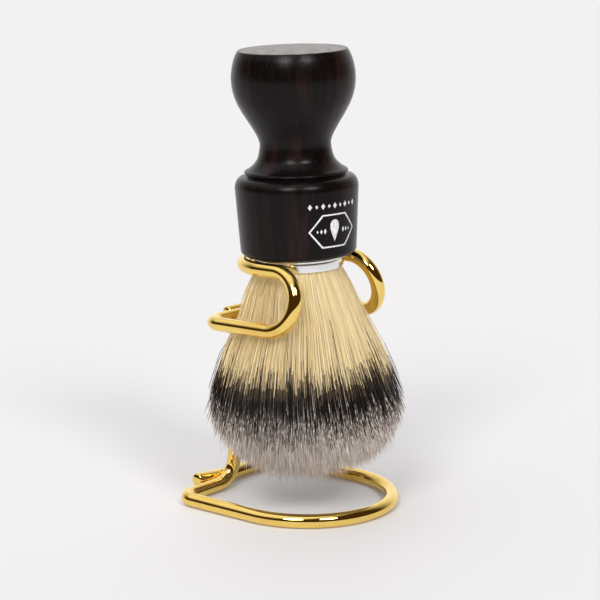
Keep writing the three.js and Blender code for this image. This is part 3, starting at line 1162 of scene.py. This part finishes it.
class BRUSHSTAND_OT_side_hair(bpy.types.Operator):
    """Grows the long outer fibres"""

    bl_idname = "brush_stand.side_hair"
    bl_label = "Side Hair"

    def execute(self, context):
        knot = settings().knot
        for index in range(knot.side_pieces):
            outer = 1.0 - 0.08 * index
            hair_piece(f"side_hair_{index + 1}", outer - 0.09, outer, 0.0, 100 * index)
        return {"FINISHED"}


class BRUSHSTAND_OT_tip_hair(bpy.types.Operator):
    """Grows the ends of the inner fibres"""

    bl_idname = "brush_stand.tip_hair"
    bl_label = "Tip Hair"

    def execute(self, context):
        knot = settings().knot
        for index in range(knot.tip_pieces):
            low, high = index / knot.tip_pieces, (index + 1) / knot.tip_pieces
            inner, outer = 0.9 * math.sqrt(low), 0.9 * math.sqrt(high)
            hair_piece(f"tip_hair_{index + 1}", inner, outer, 0.62, 1000 + 100 * index)
        return {"FINISHED"}


class BRUSHSTAND_OT_stage(bpy.types.Operator):
    """Lays the floor, hangs the lights and places the camera"""

    bl_idname = "brush_stand.stage"
    bl_label = "Stage"

    def execute(self, context):
        stage = settings().stage
        half = 4.0
        corners = [(-half, -half, 0), (half, -half, 0), (half, half, 0), (-half, half, 0)]
        floor = mesh_piece("floor", corners, [(0, 1, 2, 3)], "pale floor")
        place_camera(context.scene, stage)
        hang_lights(stage)
        light_world(context.scene, stage)
        context.scene.view_settings.view_transform = "Standard"
        return {"FINISHED"}


def place_camera(scene, stage):
    camera = bpy.data.cameras.new("camera")
    camera.lens = stage.lens
    camera.sensor_width = 36.0
    camera.clip_start = 0.02
    made = add_object("camera", camera)
    made.location = stage.camera_place
    made.rotation_euler = (math.pi / 2 - stage.pitch, 0.0, stage.azimuth)
    scene.camera = made


def direction_of(stage, turn, climb):
    """A direction at this turn from the camera's side and this climb above the floor, in degrees."""
    towards = stage.azimuth + math.radians(turn)
    climb = math.radians(climb)
    level = math.cos(climb)
    return Vector((math.sin(towards) * level, -math.cos(towards) * level, math.sin(climb)))


def hang_lights(stage):
    """Hangs the far soft lamps."""
    # Each lamp's turn, climb and width in degrees, its strength, and whether it casts shadows and shines
    # in polished metal.
    lamps = [
        ("left_lamp", -20, 41, 22, 1.3, True),
        ("right_lamp", 31, 42, 19, 1.12, True),
        ("fill_lamp", 4, 30, 40, 1.1, False),
    ]
    for name, turn, climb, width, strength, key in lamps:
        lamp = bpy.data.lights.new(name, "SUN")
        lamp.angle = math.radians(width)
        lamp.energy = strength
        lamp.use_shadow = key
        made = add_object(name, lamp)
        made.visible_glossy = key
        direction = direction_of(stage, turn, climb)
        made.location = direction
        made.rotation_euler = (-direction).to_track_quat("-Z", "Y").to_euler()


def light_world(scene, stage):
    """A pale room, dark on the camera's side up to the height of the lamps, for polished metal to mirror."""
    world = bpy.data.worlds.new("pale room")
    scene.world = world
    world.use_nodes = True
    nodes = Nodes(world.node_tree)
    shader = next(n for n in world.node_tree.nodes if n.bl_idname == "ShaderNodeBackground")
    direction = nodes.add("ShaderNodeTexCoord").outputs["Generated"]
    right, front = math.cos(stage.azimuth), math.sin(stage.azimuth)
    side = nodes.along(direction, (front, -right, 0.0))
    climb = nodes.along(direction, (-right / 3, -front / 3, 1.0))
    dark = side.smooth(-1.0, -0.15) * (1.0 - climb.smooth(0.66, 0.95))
    mirrored = nodes.mix(dark, (1.06, 1.06, 1.07), (0.055, 0.03, 0.01))
    seen = nodes.add("ShaderNodeLightPath").outputs["Is Camera Ray"]
    nodes.feed(shader.inputs["Color"], nodes.mix(seen, mirrored, (0.87, 0.86, 0.868)))


# ---- Panel and registration ----

STEPS = (
    BRUSHSTAND_OT_finishes,
    BRUSHSTAND_OT_stage,
    BRUSHSTAND_OT_wire,
    BRUSHSTAND_OT_welds,
    BRUSHSTAND_OT_handle,
    BRUSHSTAND_OT_ferrule,
    BRUSHSTAND_OT_plug,
    BRUSHSTAND_OT_mark,
    BRUSHSTAND_OT_core,
    BRUSHSTAND_OT_side_hair,
    BRUSHSTAND_OT_tip_hair,
)
PARTS = {
    "wire": WireSettings,
    "handle": HandleSettings,
    "knot": KnotSettings,
    "mark": MarkSettings,
    "stage": StageSettings,
}


class BrushStandSettings(bpy.types.PropertyGroup):
    """Everything that a user would change."""

    wire: PointerProperty(type=WireSettings)
    handle: PointerProperty(type=HandleSettings)
    knot: PointerProperty(type=KnotSettings)
    mark: PointerProperty(type=MarkSettings)
    stage: PointerProperty(type=StageSettings)


class BRUSHSTAND_PT_panel(bpy.types.Panel):
    """Lists the pieces and their sizes"""

    bl_idname = "BRUSHSTAND_PT_panel"
    bl_label = "Brush Stand"
    bl_space_type = "VIEW_3D"
    bl_region_type = "UI"
    bl_category = "Brush Stand"

    def draw(self, context):
        for step in STEPS:
            self.layout.operator(step.bl_idname)
        for name in PARTS:
            group = getattr(context.scene.brush_stand, name)
            box = self.layout.box()
            box.label(text=name.title())
            for key in group.__annotations__:
                box.prop(group, key)


CLASSES = (*PARTS.values(), BrushStandSettings, *STEPS, BRUSHSTAND_PT_panel)


def register():
    for each in CLASSES:
        bpy.utils.register_class(each)
    bpy.types.Scene.brush_stand = PointerProperty(type=BrushStandSettings)


def unregister():
    del bpy.types.Scene.brush_stand
    for each in reversed(CLASSES):
        bpy.utils.unregister_class(each)


def main():
    register()
    for step in STEPS:
        group, name = step.bl_idname.split(".")
        getattr(getattr(bpy.ops, group), name)()


if __name__ == "__main__":
    main()
